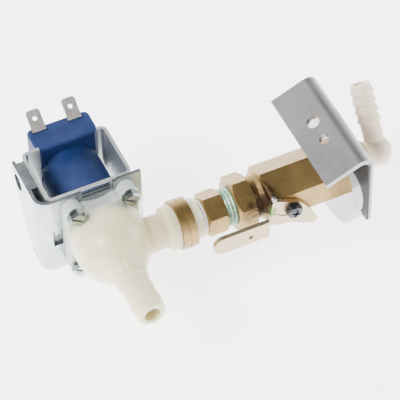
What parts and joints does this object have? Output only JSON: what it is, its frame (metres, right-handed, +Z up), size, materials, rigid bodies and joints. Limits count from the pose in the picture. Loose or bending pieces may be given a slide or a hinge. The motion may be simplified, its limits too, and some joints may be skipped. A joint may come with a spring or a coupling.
{
  "type": "solenoid valve",
  "caption": "Solenoid diaphragm valve with coil, zinc bracket, barbed outlet and a lever ball valve on a brass line ending in a steel bracket and hose elbow.",
  "frame": {"origin": "point where the pipe axis crosses the solenoid axis, which is also the axis of the outlet bore", "axes": "+X along the pipe towards the elbow, -Y out of the outlet barb, +Z up towards the coil's terminals"},
  "size_m": [0.1571, 0.1069, 0.0556],
  "materials": {
    "zinc_steel": "bright zinc plate",
    "black_plastic": "moulded",
    "copper_wire": "enamelled",
    "tinned_brass": "tinned",
    "blue_plastic": "satin moulded",
    "stainless_steel": "brushed",
    "seal_rubber": "matte",
    "natural_nylon": "translucent ivory",
    "brass": "machined",
    "white_ptfe": "waxy",
    "chrome_plate": "polished",
    "dark_brass": "tarnished",
    "yellow_zinc_steel": "yellow passivated zinc",
    "dark_screw": "black nickel",
    "polished_steel": "polished",
    "clear_nylon": "translucent"
  },
  "bodies": {
    "valve": {"bracket_plate": "zinc_steel", "bracket_leg": "zinc_steel", "yoke_frame": "zinc_steel", "yoke_shims": "zinc_steel", "coil_bobbin": "black_plastic", "coil_winding": "copper_wire", "coil_terminals": "tinned_brass", "coil_shell": "blue_plastic", "guide_tube": "stainless_steel", "pole_piece": "stainless_steel", "shading_ring": "copper_wire", "plunger_spring": "stainless_steel", "valve_body": "natural_nylon", "bonnet": "natural_nylon", "diaphragm": "seal_rubber", "inlet_strainer": "natural_nylon", "port_ring": "brass", "body_screws": "zinc_steel", "hex_nipple": "brass", "ptfe_tape": "white_ptfe", "ball_valve_body": "brass", "stop_pin": "zinc_steel", "ball_seats": "white_ptfe", "end_insert": "brass", "stem_packing": "white_ptfe", "gland_nut": "dark_brass", "bulkhead_washer": "polished_steel", "stainless_bracket": "stainless_steel", "hose_elbow": "clear_nylon", "hose_barb": "clear_nylon"},
    "lever": {"lever": "yellow_zinc_steel", "lever_screw": "dark_screw", "stem": "brass", "ball": "chrome_plate"},
    "plunger": {"plunger": "stainless_steel", "plunger_seal": "seal_rubber"},
    "diaphragm_insert": {"diaphragm_insert": "natural_nylon"}
  },
  "joints": [
    {"name": "lever_turn", "type": "hinge", "parent": "valve", "child": "lever", "pos_m": [0.077, -0.0114, 0], "axis": [0, -1, 0], "range_deg": [0, 90]},
    {"name": "plunger_slide", "type": "slide", "parent": "valve", "child": "plunger", "axis": [0, 1, 0], "range_m": [0, 0.0024], "stiffness_N_per_m": 60, "springref_m": -0.004, "deforming": ["plunger_spring"]},
    {"name": "diaphragm_lift", "type": "slide", "parent": "valve", "child": "diaphragm_insert", "axis": [0, 1, 0], "range_m": [0, 0.0006], "deforming": ["diaphragm"]}
  ],
  "couplings": [
    {"joint": "diaphragm_lift", "follows": "plunger_slide", "ratio": 0.25}
  ]
}
